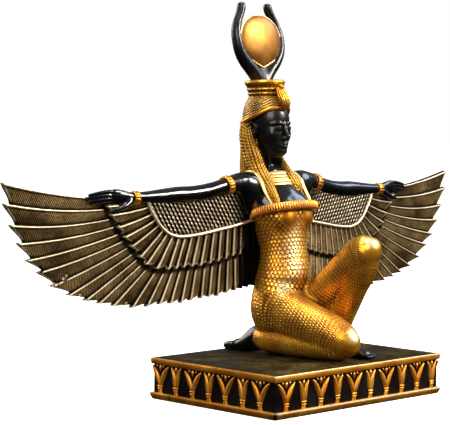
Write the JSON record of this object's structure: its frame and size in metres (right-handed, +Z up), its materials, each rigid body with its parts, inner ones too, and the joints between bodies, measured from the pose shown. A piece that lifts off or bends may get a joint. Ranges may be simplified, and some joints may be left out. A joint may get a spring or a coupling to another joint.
{
  "type": "kneeling winged goddess figurine",
  "caption": "Kneeling goddess with outspread feathered wings, horned sun disk and scaled gown, on a rectangular plinth with a lotus frieze.",
  "frame": {"origin": "centre of the plinth's underside", "axes": "+Z up, the figure faces -Y, its left hand points to +X"},
  "size_m": [0.3436, 0.0918, 0.2102],
  "materials": {
    "antique_gold_figure": "cast resin painted antique gold, black and dark bronze",
    "dark_bronze_plinth": "cast resin painted dark bronze, mouldings and lotuses gold"
  },
  "bodies": {
    "root": {"goddess": "antique_gold_figure", "plinth": "dark_bronze_plinth"}
  },
  "joints": []
}
